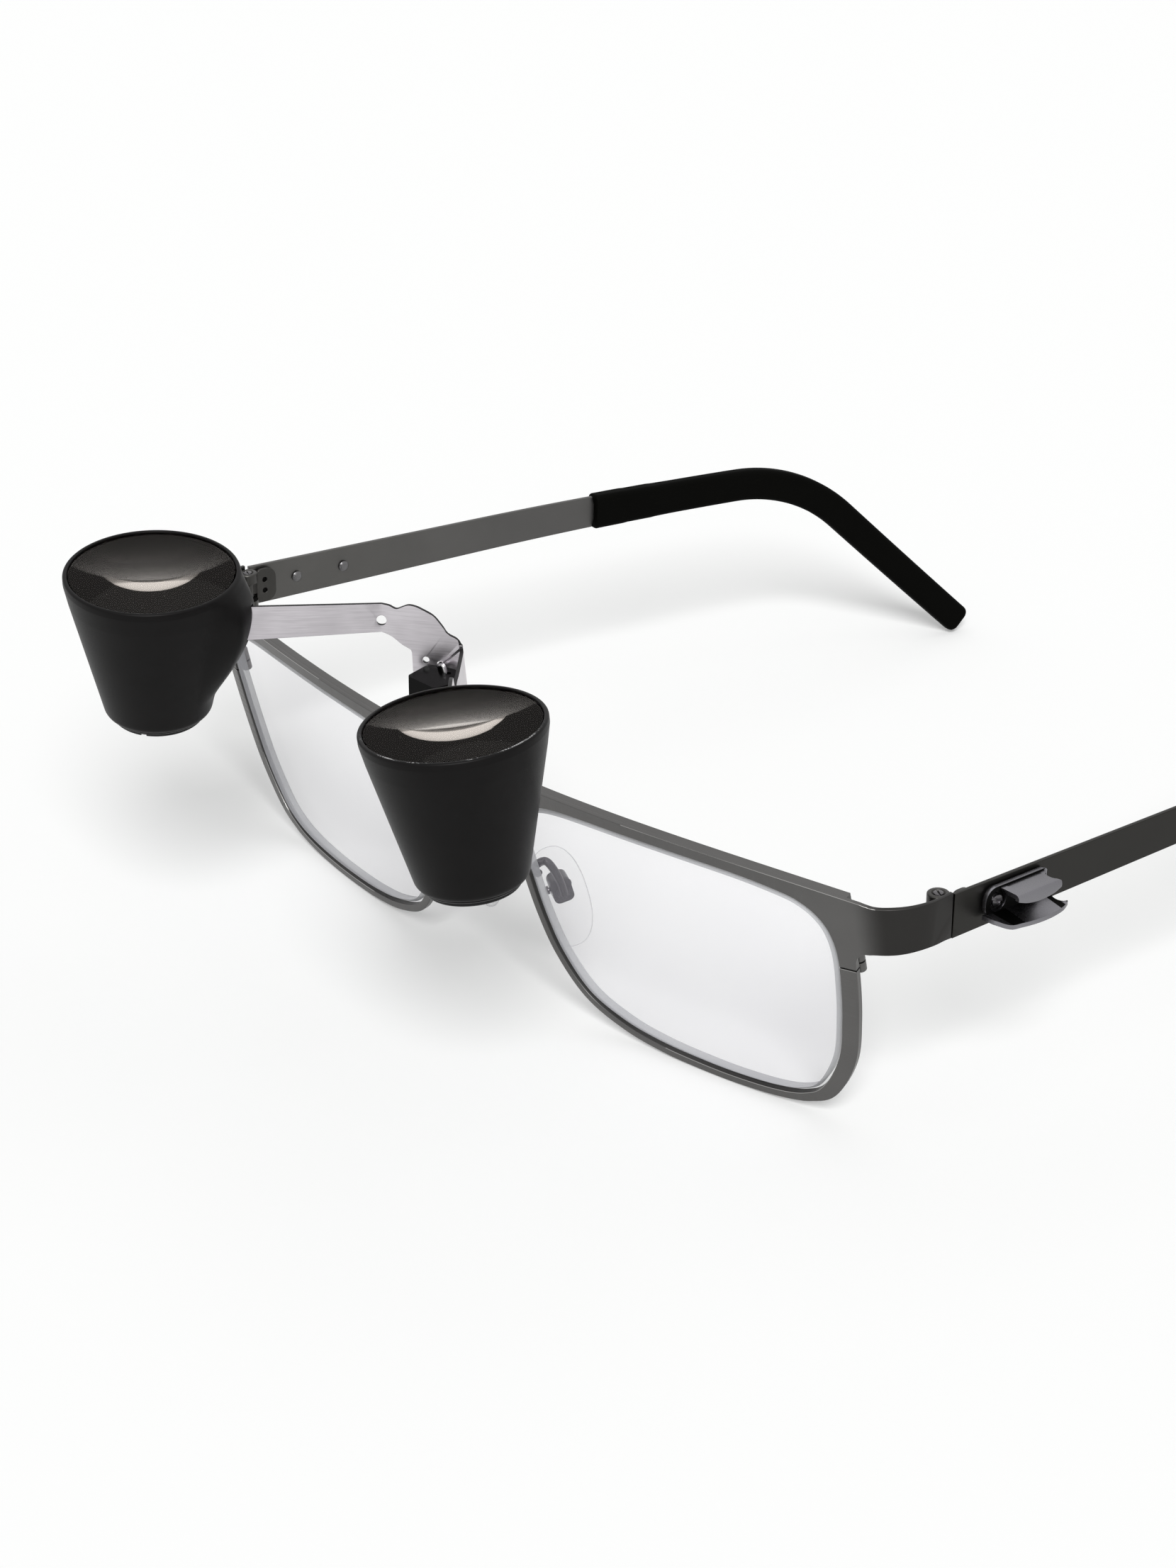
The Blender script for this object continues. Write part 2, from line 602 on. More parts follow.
def face_to(origin, z_axis, x_axis=(0, 0, 1)):
    """A frame at a point with its Z along one direction and its X near another."""
    z_axis = Vector(z_axis).normalized()
    x_axis = (Vector(x_axis) - z_axis * z_axis.dot(Vector(x_axis))).normalized()
    return Matrix.Translation(origin) @ Matrix((x_axis, z_axis.cross(x_axis), z_axis)).transposed().to_4x4()


MIRROR = Matrix.Diagonal((-1, 1, 1, 1))
screw_spots = {"front": [], "loupes": [], "temple_left": []}


def screw_at(body, place, spot, way, *sizes):
    """Notes a screw: under its head, which way that points, then radius and length of head and shank."""
    screw_spots[body].append((place @ Vector(spot), place.to_3x3() @ Vector(way), *sizes))


for side, tag in ((1, "left"), (-1, "right")):
    flip = Matrix.Identity(4) if side > 0 else MIRROR
    x = LENS_INNER_EDGE + LENS_WIDTH + 0.0012
    depth = (x + 0.00075) ** 2 / (2 * WRAP_RADIUS) + RIM_DEPTH + FIT_GAP + 0.00075
    place = flip @ FRONT_PLACE @ Matrix.Translation((x, depth, SEAM_HIGH))
    barrel = solid("closing_barrel_" + tag, turned([
        (0, -0.0016, 0), (0.00075, -0.0016, 0.00015), (0.00075, 0.0020, 0.0003), (0, 0.0020, 0),
    ], place, steps=40), gunmetal)
    carved(barrel, rod(0.0004, -0.003, 0.00125, place))
    carved(barrel, block((-0.002, -0.002, -0.00012), (0.002, 0.002, 0.00012), place))
    part(shaded(barrel), "front", "gunmetal", "closing_block_" + tag)
    screw_at("front", place, (0, 0, -0.0012), (0, 0, -1), 0.00037, 0.00035, 0.00025, 0.0021)


# ---- Temple hinges: three knuckles on a screw. The outer two are one barrel brazed inside the
# endpiece; the middle one is bent from the leaf that is riveted to the temple.
# The hinge parts have the same plating, darker and a little glossier, and read as small dark blocks.
gunmetal_dark = plated("satin_gunmetal_plating_dark", "#454442", "#3b3a38", 0.34, 0.012, 0.030)
HINGE_LEAF_END = 0.0050
STANDING_FOLD = {1: math.radians(-2.9), -1: math.radians(9.5)}


def round_hole(x, y, radius, count=28):
    return [Vector((x, y)) + radius * Vector((math.cos(a), math.sin(a)))
            for a in (2 * math.pi * k / count for k in range(count))]


for side, tag in ((1, "left"), (-1, "right")):
    flip = Matrix.Identity(4) if side > 0 else MIRROR
    base = flip @ Matrix.Translation(HINGE_AXIS)
    swung = base @ Matrix.Rotation(STANDING_FOLD[side], 4, "Z")
    barrel = solid("hinge_barrel_" + tag, turned([
        (0, -0.0026, 0), (0.00145, -0.0026, 0.00012), (0.00145, 0.0029, 0.00022), (0, 0.0029, 0),
    ], base), gunmetal_dark)
    carved(
        barrel,
        block((0.00100, -0.003, -0.006), (0.003, 0.003, 0.006), base),
        block((-0.003, -0.00108, -0.0014), (0.003, 0.003, 0.0014), base),
        rod(0.00055, -0.006, 0.006, base),
        rod(0.00092, 0.0021, 0.006, base, steps=40),
    )
    part(shaded(barrel, bevel=0.00005), "front", "gunmetal", "hinge_front_" + tag)
    screw_at("front", base, (0, 0, 0.0024), (0, 0, 1), 0.00074, 0.0005, 0.0004, 0.0050)
    knuckle = solid("hinge_knuckle_" + tag, turned([
        (0, -0.0011, 0), (0.00078, -0.0011, 0.0001), (0.00078, 0.0011, 0.0001), (0, 0.0011, 0),
    ], swung, steps=40), gunmetal_dark)
    leaf_outline = rounded([
        (0.00175, -0.0027, 0.0009), (HINGE_LEAF_END, -0.0027, 0.0018), (HINGE_LEAF_END, 0.0026, 0.0018),
        (0.00175, 0.0026, 0.0009),
    ], 8)
    dots = [round_hole(0.0031, high, 0.0004, 16) for high in (-0.00085, 0.00085)]

    def lie(y, depth, z):
        return swung @ Vector((0.0005 + depth, y, z))

    leaf = plate(leaf_outline, dots, 0.0005, 0.00007, lie)
    carved(knuckle, block((0.00052, 0.0, -0.00105), (0.00098, 0.0027, 0.00105), swung), joining=True)
    carved(knuckle, rod(0.0004, -0.004, 0.004, swung))
    for piece in (shaded(knuckle, bevel=0.00005), solid("hinge_leaf_" + tag, leaf, gunmetal_dark)):
        part(piece, "temple_" + tag, "temple_metal", "hinge_temple_" + tag)


# ---- Temples: flat bars of spring steel, 0.6 mm thick, tapering slightly to the rear, painted
# near-black outside over the plating. The right one keeps two rivets in its unused clip holes.
TEMPLE_BAR_LENGTH, TEMPLE_HEIGHT_REAR, TEMPLE_SHEET = 0.0615, 0.0050, 0.0006
CLIP_HOLES, CLIP_HOLE_HIGH, RIVET_HOLES = (0.0078, 0.0140), 0.0003, (0.0089, 0.0169)
SLEEVE_BEND_START, SLEEVE_BEND_RADIUS, SLEEVE_DROP, SLEEVE_TAIL = 0.0877, 0.0275, math.radians(44.4), 0.0300


def temple_run(travel):
    """Centre of the temple at a distance along it, and the angle it has dropped."""
    angle = min(max((travel - SLEEVE_BEND_START) / SLEEVE_BEND_RADIUS, 0), SLEEVE_DROP)
    rest = max(travel - SLEEVE_BEND_START - SLEEVE_BEND_RADIUS * SLEEVE_DROP, 0)
    along = min(travel, SLEEVE_BEND_START) + SLEEVE_BEND_RADIUS * math.sin(angle)
    along += rest * math.cos(SLEEVE_DROP)
    drop = -SLEEVE_BEND_RADIUS * (1 - math.cos(angle)) - rest * math.sin(SLEEVE_DROP)
    return max(travel - 0.042, 0) ** 2 / 0.8, along, drop, angle


def temple_place(side):
    flip = Matrix.Identity(4) if side > 0 else MIRROR
    return flip @ Matrix.Translation(HINGE_AXIS) @ Matrix.Rotation(STANDING_FOLD[side], 4, "Z") @ (
        Matrix.Rotation(math.radians(-1.3), 4, "X")
    )


TEMPLE_OUTER = ENDPIECE_OUTER - HINGE_AXIS.x
# Near-black paint with a soft sheen, and the bare spring steel beside it in a plain satin grey.
temple_black = plated("painted_spring_steel_black", "#31302e", "#2c2b29", 0.40, 0.02, 0.07)
temple_grey = plated("satin_spring_steel_grey", "#5c5b59", "#5a5958", 0.42, 0.02, 0.07)
for side, tag in ((1, "left"), (-1, "right")):
    place = temple_place(side)
    edge_high = []
    for k in range(41):
        travel = BUTT_OFFSET + (TEMPLE_BAR_LENGTH - BUTT_OFFSET) * k / 40
        height = TEMPLE_HEIGHT_FRONT - (TEMPLE_HEIGHT_FRONT - TEMPLE_HEIGHT_REAR) * travel / TEMPLE_BAR_LENGTH
        edge_high.append(Vector((travel, height / 2)))
    tang = [Vector((TEMPLE_BAR_LENGTH + 0.0003, 0.0013)), Vector((TEMPLE_BAR_LENGTH + 0.012, 0.0013))]
    outline = edge_high + tang
    outline += [Vector((p.x, -p.y)) for p in reversed(outline)]
    if side > 0:
        holes = [round_hole(spot, CLIP_HOLE_HIGH, 0.0007, 24) for spot in CLIP_HOLES]
    else:
        holes = [round_hole(spot, 0.0, 0.00065, 24) for spot in RIVET_HOLES]

    def lie(travel, depth, z):
        inward, along, drop, _ = temple_run(travel)
        return place @ Vector((TEMPLE_OUTER - inward - depth, along, drop + z))

    bar = plate(outline, holes, TEMPLE_SHEET, 0.00008, lie)
    made = solid("temple_bar_" + tag, bar, temple_black if side > 0 else temple_grey)
    part(made, "temple_" + tag, "temple_metal", "temple_" + tag)

# The rivet heads are paler than the temple and show as two small soft highlights.
steel_rivet = plated("dull_rivet_steel", "#6a696a", "#6a696a", 0.28, 0.0, 1.0)
for name, spot in zip(("front", "rear"), RIVET_HOLES):
    place = temple_place(-1) @ face_to((TEMPLE_OUTER - TEMPLE_SHEET - FIT_GAP / 2, spot, 0), (1, 0, 0))
    rivet = solid("temple_rivet_" + name, turned([
        (0, -0.00030, 0), (0.00050, -0.00028, 0.0003), (0.00080, -0.00008, 0.00006), (0.00080, 0, 0.00004),
        (0.0005, 0, 0), (0.0005, 0.00072, 0.0001), (0, 0.00075, 0),
    ], place, steps=40), steel_rivet)
    part(rivet, "temple_right", "temple_metal", "rivet_right_" + name)


# ---- Sleeves: black silicone tubes pushed over the tangs, softly flattened, bent down behind the
# ear. Matt skin with a square front edge and a slightly thicker collar over the tang.
def bar_section(thick, height, corner, steps=6):
    corners = [(across * thick / 2, up * height / 2) for across, up in ((-1, -1), (1, -1), (1, 1), (-1, 1))]
    return rounded([(*p, corner) for p in corners], steps)


def loft(rows):
    """Rings of points joined in order, with both ends closed."""
    bm = bmesh.new()
    rings = [[bm.verts.new(p) for p in row] for row in rows]
    skinned(bm, rings)
    bm.faces.new(rings[0])
    bm.faces.new(reversed(rings[-1]))
    return bm


def rubber(name, code, roughness, grain):
    """Moulded silicone: matt, with a faint grain and a touch of paler bloom."""
    made, tree, shader, spot = blank(name)
    bloom = node(tree, "ShaderNodeTexNoise", {"Vector": spot, "Scale": 1 / 0.006, "Detail": 3.0})
    base = Vector(linear(code)[:3])
    ramp = node(tree, "ShaderNodeMix", {
        0: bloom.outputs[0], 6: (*(base * 0.8), 1), 7: (*(base * 1.3), 1),
    }, data_type="RGBA")
    tree.links.new(ramp.outputs[2], shader.inputs["Base Color"])
    grained(tree, shader, spot, grain, 0.2, grain / 3)
    shader.inputs["Roughness"].default_value = roughness
    shader.inputs["Specular IOR Level"].default_value = 0.025
    return made


# The sleeves are an even deep black with no highlight, only a faint bloom.
silicone = rubber("matt_black_silicone", "#050504", 0.62, 0.00018)
SLEEVE_LENGTH = SLEEVE_BEND_START + SLEEVE_BEND_RADIUS * SLEEVE_DROP + SLEEVE_TAIL
SLEEVE_HEIGHT, SLEEVE_HEIGHT_TIP, SLEEVE_THICKNESS, SLEEVE_CORNER = 0.0053, 0.0046, 0.0025, 0.0009
for side, tag in ((1, "left"), (-1, "right")):
    place = temple_place(side)
    start = TEMPLE_BAR_LENGTH + FIT_GAP
    length = SLEEVE_LENGTH - start
    stations = [(0.0, 0.90), (0.0008, 0.97), (0.003, 1.0)]
    stations += [(0.01 + 0.98 * k / 90, 1.0) for k in range(90)]
    quarter = [math.pi / 2 * k / 6 for k in range(7)]
    stations += [(1 - 0.012 * (1 - math.sin(a)), math.cos(a) * 0.35 + 0.65) for a in quarter]
    rows = []
    for share, closing in stations:
        inward, along, drop, angle = temple_run(start + length * share)
        collar = 1 + 0.10 * (1 - min(max((share - 0.13) / 0.05, 0), 1))
        step = 1.045 if share < 0.07 else 1.022 if share < 0.14 else 1.0
        height = (SLEEVE_HEIGHT + (SLEEVE_HEIGHT_TIP - SLEEVE_HEIGHT) * share) * closing * step
        thick = SLEEVE_THICKNESS * min(collar, 1.08) * closing
        middle = TEMPLE_OUTER - TEMPLE_SHEET / 2 - inward
        rows.append([
            place @ Vector((middle + p.x, along + p.y * math.sin(angle), drop + p.y * math.cos(angle)))
            for p in bar_section(thick, height, SLEEVE_CORNER)
        ])
    sleeve = solid("temple_sleeve_" + tag, loft(rows), silicone, sharp=50)
    part(sleeve, "temple_" + tag, "black_silicone", "sleeve_" + tag)


# ---- Clip on the left temple: stamped and folded steel, a plate with a window screwed to the temple,
# a short upper flange with a lip and a longer bowed lower one. Bright satin, raw at the edges.
# The steel is bright satin; under the flanges it is blackened and reads as a dark slot.
clip_steel = plated("stamped_clip_steel", "#7b7a7e", "#737276", 0.28, 0.02, 0.04, grain=0.0002)
blackened = plated("blackened_clip_inside", "#0b0b0a", "#0b0b0a", 0.50, 0.02, 0.04)
place = temple_place(1)
CLIP_SHEET, UPPER_REACH, LOWER_REACH = 0.0006, 0.0031, 0.0034
CLIP_FACE = TEMPLE_OUTER + FIT_GAP
CLIP_BACK = CLIP_FACE + CLIP_SHEET
plate_corners = [
    (0.0056, -0.0018, 0.0017), (0.0165, -0.0018, 0.0008), (0.0165, 0.0024, 0.0008), (0.0056, 0.0024, 0.0017),
]


def across_temple(outline, low, high):
    """A prism on the temple's side, from an outline of (along, up) pairs."""
    return loft([[Vector((x, p[0], p[1])) for p in outline] for x in (low, high)])


clip = solid("clip", across_temple(rounded(plate_corners, 10), CLIP_FACE, CLIP_BACK), clip_steel)
root, reach = CLIP_BACK - 0.0004, CLIP_BACK + UPPER_REACH
lips = [(0, 0.20), (0.08, 0.42), (0.22, 0.74), (0.42, 0.98), (0.62, 1.0), (0.84, 0.82), (1, 0.38)]
upper = []
for share in smooth_path(lips, 5):
    y, low = 0.0081 + 0.0077 * share.x, 0.0015 - 0.0011 * share.y
    fold = [(reach + CLIP_SHEET * (math.sin(a) - 1), 0.0021 + CLIP_SHEET * (math.cos(a) - 1))
            for a in (1.57, 1.2, 0.9, 0.6, 0.3, 0)]
    section = [(root, 0.0015), (reach - CLIP_SHEET, 0.0015), (reach - CLIP_SHEET, low), (reach, low)]
    upper.append([Vector((x, y, z)) for x, z in section + fold + [(root, 0.0021)]])
bows = [
    (0, -0.10, 0.45), (0.09, 0.15, 1), (0.28, 0.62, 1), (0.50, 0.95, 1), (0.72, 1, 1), (0.90, 0.65, 1),
    (1, 0.30, 0.90),
]
lower = []
for share in smooth_path(bows, 5):
    y, edge, tip = 0.0055 + 0.0117 * share.x, -0.0011 - 0.0009 * share.y, CLIP_BACK + LOWER_REACH * share.z
    section = [(root, -0.0017), (tip, edge - CLIP_SHEET), (tip, edge), (root, -0.0011)]
    lower.append([Vector((x, y, z)) for x, z in section])
carved(clip, loft(upper), loft(lower), joining=True)
for end, low, high in ((0.0158, 0, 0.005), (0.0172, -0.006, 0)):
    bite = Matrix.Translation((CLIP_BACK + 0.00155, end + 0.0008, 0))
    carved(clip, rod(0.0016, low, high, bite, steps=48))
window = [(0.0063, -0.0010), (0.0092, -0.0010), (0.0092, 0.0019), (0.0063, 0.0019)]
window = rounded([(*p, 0.0014) for p in window], 8)
carved(clip, across_temple(window, CLIP_FACE - 0.001, CLIP_BACK + 0.001))
clip.data.materials.append(blackened)
for face in clip.data.polygons:
    x, y, z = face.center
    within = x > CLIP_BACK - 0.0002 and -0.0014 < z < 0.0016 and y > 0.0070
    covered = z < 0 and face.normal.z > 0.3 or z > 0 and face.normal.z < -0.3
    covered = covered or face.normal.x > 0.5 and z < 0.0014 and x < CLIP_BACK + 0.0001
    face.material_index = 1 if within and covered else 0
clip.data.transform(place)
part(shaded(clip, bevel=0.00008), "temple_left", "clip_steel", "clip_left")
for along, x, way, *sizes in (
    (CLIP_HOLES[0], CLIP_FACE, 1, 0.00095, 0.0005, 0.00055, 0.0012),
    (CLIP_HOLES[1], CLIP_BACK + 0.0003, 1, 0.00095, 0.0005, 0.00055, 0.0021),
    (CLIP_HOLES[0], CLIP_FACE - 0.0012, -1, 0.0012, 0.0006, 0.0005, 0.0004),
    (CLIP_HOLES[1], CLIP_FACE - 0.0012, -1, 0.0012, 0.0006, 0.0005, 0.0004),
):
    screw_at("temple_left", place, (x, along, CLIP_HOLE_HIGH), (way, 0, 0), *sizes)


# ---- Nose pads: clear silicone pillows on a tab, each rocking on a small screw in a metal box at
# the end of a bent wire arm that is brazed behind the rim.
PAD_LEAN, PAD_SPLAY = math.radians(-8), math.radians(27)
PAD_HALF_WIDTH, PAD_HALF_HEIGHT, PAD_HALF_THICKNESS, PAD_ROUNDING = 0.0037, 0.0079, 0.0008, 0.0007
PAD_ARM_BENDS = ((0.13, 0.16, 0.70), (0.50, 0.66, 0.95), (0.68, 1.0, 0.45), (0.83, 0.80, 0.10), (0.95, 0.40, 0))
up_pad = Vector((math.sin(PAD_LEAN), 0, math.cos(PAD_LEAN)))
outward_pad = Vector((math.cos(PAD_SPLAY), -math.sin(PAD_SPLAY), 0))
outward_pad = (outward_pad - up_pad * outward_pad.dot(up_pad)).normalized()
across_pad = outward_pad.cross(up_pad)
PAD_PLACE = FRONT_PLACE @ Matrix.Translation((0.0073, 0.0071, -0.0087)) @ (
    Matrix((across_pad, outward_pad, up_pad)).transposed().to_4x4()
)
BOX_PLACE = PAD_PLACE @ Matrix.Translation((0, 0, 0.0028))
PAD_SCREW = BOX_PLACE @ Matrix.Translation((0, 0.0019, 0)) @ Matrix.Rotation(math.pi / 2, 4, "Y")


def clear_silicone():
    """Clear silicone: almost unseen face on, milky and bright where the surface turns away."""
    made, tree, shader, spot = blank("clear_silicone_pad")
    edge = node(tree, "ShaderNodeLayerWeight", {"Blend": 0.35})
    haze = node(tree, "ShaderNodeTexNoise", {"Vector": spot, "Scale": 1 / 0.004, "Detail": 2.0})
    rise = node(tree, "ShaderNodeMapRange", {
        "Value": edge.outputs["Facing"], "From Min": 0.35, "From Max": 1.0, "To Min": 0.02, "To Max": 0.75,
    })
    cover = node(tree, "ShaderNodeMath", {0: rise.outputs[0], 1: haze.outputs[0]}, operation="MULTIPLY")
    total = node(tree, "ShaderNodeMath", {0: rise.outputs[0], 1: cover.outputs[0]}, operation="ADD")
    tree.links.new(total.outputs[0], shader.inputs["Alpha"])
    shader.inputs["Base Color"].default_value = linear("#c4c4c8")
    shader.inputs["Roughness"].default_value = 0.12
    shader.inputs["IOR"].default_value = 1.43
    return made


def geometry_tree(name, result, **kinds):
    """An empty Geometry Nodes tree with its named inputs and one output."""
    tree = bpy.data.node_groups.new(name, "GeometryNodeTree")
    for label, kind in kinds.items():
        tree.interface.new_socket(label.replace("_", " "), in_out="INPUT", socket_type="NodeSocket" + kind)
    tree.interface.new_socket(result, in_out="OUTPUT", socket_type="NodeSocketGeometry")
    return tree


def wire_tree():
    """Geometry Nodes: a round wire drawn along the start mesh's line of points."""
    tree = geometry_tree("drawn_wire", "Wire", Line="Geometry", Radius="Float", Sides="Int", Finish="Material")
    given = node(tree, "NodeGroupInput").outputs
    ring = node(tree, "GeometryNodeCurvePrimitiveCircle", {
        "Resolution": given["Sides"], "Radius": given["Radius"],
    })
    line = node(tree, "GeometryNodeMeshToCurve", {"Mesh": given["Line"]})
    swept = node(tree, "GeometryNodeCurveToMesh", {
        "Curve": line.outputs[0], "Profile Curve": ring.outputs[0], "Fill Caps": True,
    })
    joined = node(tree, "GeometryNodeRealizeInstances", {0: swept.outputs[0]})
    done = node(tree, "GeometryNodeSetMaterial", {"Geometry": joined.outputs[0], "Material": given["Finish"]})
    node(tree, "NodeGroupOutput", {0: done.outputs[0]})
    return tree


def grown(name, start, tree, values):
    """The plain mesh that a Geometry Nodes tree makes from a start mesh with its named inputs set."""
    made = bpy.data.objects.new(name, start)
    bpy.context.scene.collection.objects.link(made)
    modifier = made.modifiers.new(name, "NODES")
    modifier.node_group = tree
    for item in tree.interface.items_tree:
        if item.in_out == "INPUT" and item.name in values:
            modifier[item.identifier] = values[item.name]
    return plain(made)


def drawn(name, points, radius, finish, tree):
    start = bpy.data.meshes.new(name)
    start.from_pydata([tuple(p) for p in points], [(i, i + 1) for i in range(len(points) - 1)], [])
    return shaded(grown(name, start, tree, {"Radius": radius, "Sides": 20, "Finish": finish}))


def settled(made, side, place):
    """Moves a piece built about its own middle to its place, right way out on the mirrored side."""
    made.data.transform((Matrix.Identity(4) if side > 0 else MIRROR) @ place)
    if side < 0:
        made.data.flip_normals()


# The pad is soft clear silicone: the eye finds its bright outline and sees the rim through it. Wire
# and casing are polished nickel silver: darker than the satin front, with small sharp highlights.
pad_silicone = clear_silicone()
pad_metal = plated("polished_pad_metal", "#3b3a3b", "#343334", 0.24, 0.0, 0.02)
wires = wire_tree()
for side, tag in ((1, "left"), (-1, "right")):
    flip = Matrix.Identity(4) if side > 0 else MIRROR
    outline = []
    for k in range(48):
        a = 2 * math.pi * k / 48
        full = [math.copysign(abs(v) ** 0.84, v) for v in (math.cos(a), math.sin(a))]
        outline.append(Vector((PAD_HALF_WIDTH * full[0], PAD_HALF_HEIGHT * full[1])))
    rows = []
    for k in range(9):
        a = math.pi * (k / 8 - 0.5)
        inset = PAD_ROUNDING * (1 - math.cos(a)) + 1e-6
        rows.append([Vector((p.x, PAD_HALF_THICKNESS * math.sin(a), p.y)) for p in offset(outline, -inset)])
    crowned = [Vector((p.x * 0.5, p.y * 1.12, p.z * 0.6)) for p in rows[0]]
    flat = [Vector((p.x * 0.5, p.y, p.z * 0.6)) for p in rows[-1]]
    pad = solid("nose_pad_" + tag, loft([crowned, *rows, flat]), pad_silicone, sharp=60)
    tab = bar_section(0.0010, 0.0026, 0.0002, 3)
    stem = loft([[Vector((x, y, z)) for x, z in tab] for y in (0.0004, 0.0024)])
    stem.transform(Matrix.Translation((0, 0, 0.0028)))
    carved(pad, stem, joining=True)
    settled(pad, side, PAD_PLACE)
    part(shaded(pad, sharp=60), "nose_pad_" + tag, "clear_silicone", "pad_" + tag)
    casing = rounded([
        (-0.0014, -0.0017, 0.0008), (0.0014, -0.0017, 0.0008),
        (0.0014, 0.0020, 0.0009), (-0.0014, 0.0020, 0.0009),
    ], 5)
    casing = loft([[Vector((x, y, z)) for x, z in casing] for y in (0.0011, 0.0036)])
    shell = solid("pad_casing_" + tag, casing, pad_metal)
    carved(shell, block((-0.0008, 0.0, -0.0030), (0.0008, 0.0030, 0.0016), Matrix.Identity(4)))
    collar = turned([
        (0, 0.0031, 0), (0.00105, 0.0031, 0.0001), (0.00095, 0.0041, 0.0003), (0, 0.0041, 0),
    ], Matrix.Rotation(-math.pi / 2, 4, "X"), steps=48)
    carved(shell, collar, joining=True)
    settled(shell, side, BOX_PLACE)
    part(shaded(shell, bevel=0.00012), "front", "gunmetal", "pad_box_" + tag)
    end = FRONT_PLACE.inverted() @ BOX_PLACE @ Vector((0, 0.0044, 0))
    rim = offset(lens_edge(4), 0.00055)
    nasal = min(rim, key=lambda p: abs(p.y + 0.0010) + p.x)
    start = Vector((nasal.x, nasal.x**2 / (2 * WRAP_RADIUS) + 0.0018, nasal.y))
    arm = [start]
    for along, rise, swing in PAD_ARM_BENDS:
        arm.append(start.lerp(end, along) + Vector((-0.0020 * swing, 0, 0.0040 * rise)))
    arm = [flip @ FRONT_PLACE @ p for p in smooth_path(arm + [end], 8)]
    part(drawn("pad_arm_wire_" + tag, arm, 0.00056, pad_metal, wires), "front", "gunmetal", "pad_arm_" + tag)
    screw_at("front", flip @ PAD_SCREW, (0, 0, 0.00155), (0, 0, 1), 0.0006, 0.00045, 0.0003, 0.0032)


# ---- Flip mount: a small steel base screwed to the bridge with two ears, a pin through them, and a
# black block that turns between the ears. The block is glossy hard-anodised aluminium.
PIVOT, FOLD = Vector((0, -0.0078, 0.0405)), Vector((0, -0.0020))
NEAR_TURN, FAR_TURN, NEAR_LEAN, PLATE_TOP = math.radians(46), math.radians(36), 0.114, 0.0533


def dressed(name, source, finish, bevel=0.0):
    """A merged copy of a node's solid with its edges rounded and its flat faces made whole."""
    bm = bmesh.new()
    bm.from_mesh(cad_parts[source].data)
    bmesh.ops.remove_doubles(bm, verts=bm.verts, dist=2e-6)
    bmesh.ops.dissolve_limit(bm, angle_limit=math.radians(1.0), verts=bm.verts, edges=bm.edges)
    made = solid(name, bm, finish)
    return shaded(made, bevel=bevel) if bevel else made


def polished_black(name, code, roughness, specular=0.5, grain=0.0002):
    """Hard black surface with a thin wear haze: fine grain in the gloss, paler where it is rubbed."""
    made, tree, shader, spot = blank(name)
    rubbed = node(tree, "ShaderNodeTexNoise", {"Vector": spot, "Scale": 1 / 0.0025, "Detail": 4.0})
    base = Vector(linear(code)[:3])
    tone = node(tree, "ShaderNodeMix", {
        0: rubbed.outputs[0], 6: (*(base * 0.7), 1), 7: (*(base * 1.5), 1),
    }, data_type="RGBA")
    tree.links.new(tone.outputs[2], shader.inputs["Base Color"])
    grained(tree, shader, spot, grain, 0.12, grain / 4, (roughness - 0.06, roughness + 0.08))
    shader.inputs["Specular IOR Level"].default_value = specular
    return made


# The block is deep black and mirrors only a trace of the room; the base under it is satin steel.
anodised = polished_black("hard_anodised_black", "#040404", 0.16, specular=0.04)
mount_steel = plated("satin_mount_steel", "#5a595b", "#5a595b", 0.30, 0.0, 1.0)
part(dressed("flip_base", "mount_base", mount_steel, bevel=0.0001), "front", "steel", "mount_base")
flip_block = dressed("flip_block", "pivot_block", anodised)
near_plate = face_to((*FOLD, PLATE_TOP), (math.sin(NEAR_TURN), math.cos(NEAR_TURN), NEAR_LEAN))
carved(flip_block, block((-0.0088, 0.0012, -0.0016), (-0.0020, 0.0048, -0.0004), near_plate), joining=True)
carved(flip_block, block((-0.02, -0.02, -0.0003), (0.02, 0.02, 0.004), near_plate))
carved(flip_block, block((-0.01, -0.02, 0.0494), (0.01, 0.01, 0.0600), Matrix.Identity(4)))
part(shaded(flip_block, bevel=0.00012), "loupes", "black_plastic", "pivot_block")
screw_at("front", Matrix.Translation(PIVOT), (0.0046, 0, 0), (1, 0, 0), 0.0015, 0.0006, 0.0008, 0.0092)
for x in (0.001674, -0.001674):
    screw_at("front", FRONT_PLACE, (x, -0.0022, 0.01345), (0, -1, 0), 0.0009, 0.0004, 0.0005, 0.0031)


# ---- Bracket: one strip of stainless steel sheet, blanked, folded to a V over the block and bent
# out to an arm on each side. Fine brushed faces, dark sheared edges, and a thin spring wire.
LOUPE_SPOT = Vector((0.0296, -0.0291, 0.06085))
STAGGER = 0.00055
CONVERGENCE, LEAN, BOSS_TURN = math.radians(5.1), math.radians(3.4), math.radians(33)
HOUSING_LENGTH, RIM_RADIUS, TOP_RADIUS, LOW_RADIUS = 0.0209, 0.0115, 0.0110, 0.0070
BOSS_WIDEST = 0.245
BOSS_SHARES = (
    (0.0, 0.0), (0.03, 0.035), (0.12, 0.150), (0.24, 0.235), (0.42, BOSS_WIDEST), (0.60, 0.170), (0.80, 0.030),
    (0.88, 0.0), (1, 0),
)
BRACKET_SHEET, FAR_BEND, NEAR_BEND = 0.0005, 0.01045, 0.0100
SPRING_HOLE, BRACKET_SCREW = (0.00275, 0.0496), (0.0024, 0.0462)
ARM_HEIGHT, ARM_END_TOP, BRACKET_LOW, EAR_TOP = 0.0048, 0.05675, 0.0437, 0.0576


